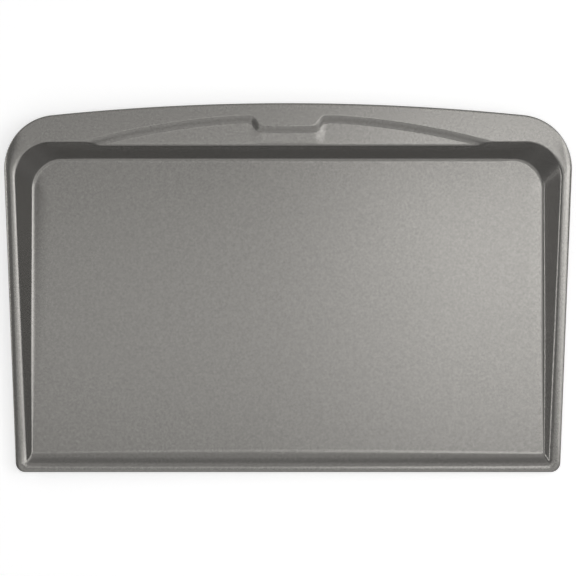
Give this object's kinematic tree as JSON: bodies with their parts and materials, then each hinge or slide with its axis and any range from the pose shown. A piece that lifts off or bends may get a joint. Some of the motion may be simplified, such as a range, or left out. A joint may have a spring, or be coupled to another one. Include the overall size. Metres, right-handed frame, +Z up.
{
  "type": "insulated cookie sheet",
  "caption": "Shallow rectangular baking sheet with an air gap under its floor, raised back and side walls, a low curved front lip and a wide arched handle flange with a sunk grip panel.",
  "frame": {"origin": "On the table under the middle of the sheet: the bottom centre of its bounding box.", "axes": "+X across the sheet to the right, +Y towards the handle at the back, +Z up."},
  "size_m": [0.433, 0.2819, 0.0199],
  "materials": {
    "top_coating": "satin grey non-stick coating with fine metallic speckle",
    "underside_coating": "duller satin grey non-stick coating"
  },
  "bodies": {
    "root": {"baking_sheet": "top_coating", "base_sheet": "underside_coating"}
  },
  "joints": []
}
